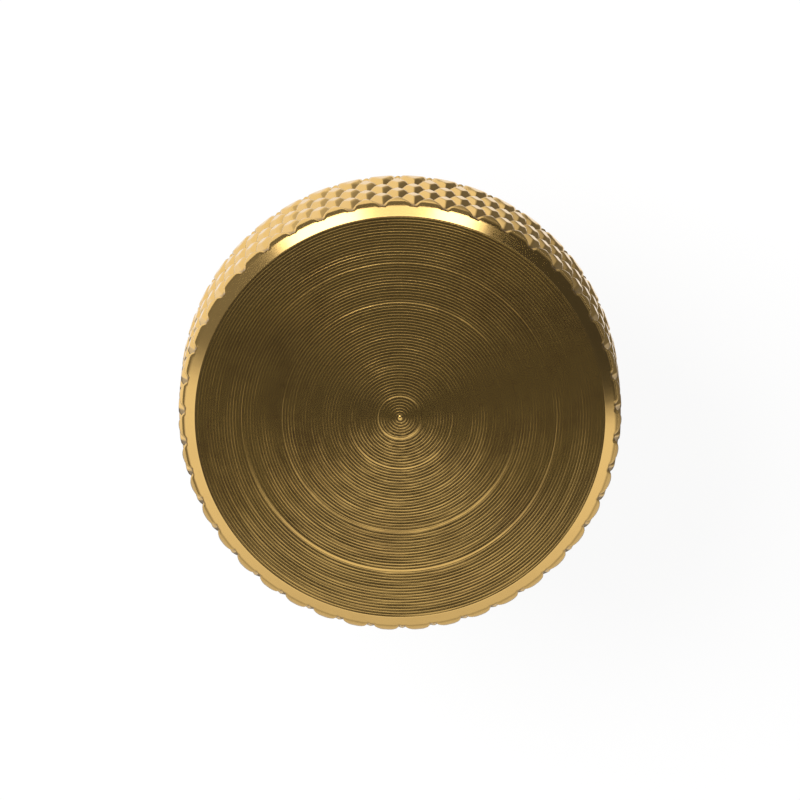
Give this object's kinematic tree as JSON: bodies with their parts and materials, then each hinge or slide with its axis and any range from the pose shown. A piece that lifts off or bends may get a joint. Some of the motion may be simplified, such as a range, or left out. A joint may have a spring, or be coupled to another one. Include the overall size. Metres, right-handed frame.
{
  "type": "thumb screw",
  "caption": "Brass thumb screw with a flat round knurled head and a short threaded shank, turned in one piece and tightened by hand.",
  "frame": {"origin": "centre of the tip's flat end face, which the screw stands on", "axes": "+Z along the screw's axis, from the tip to the turned face of the head"},
  "size_m": [0.02, 0.02, 0.018],
  "materials": {
    "brass": "turned, lightly tarnished"
  },
  "bodies": {
    "root": {"thumb_screw": "brass"}
  },
  "joints": []
}
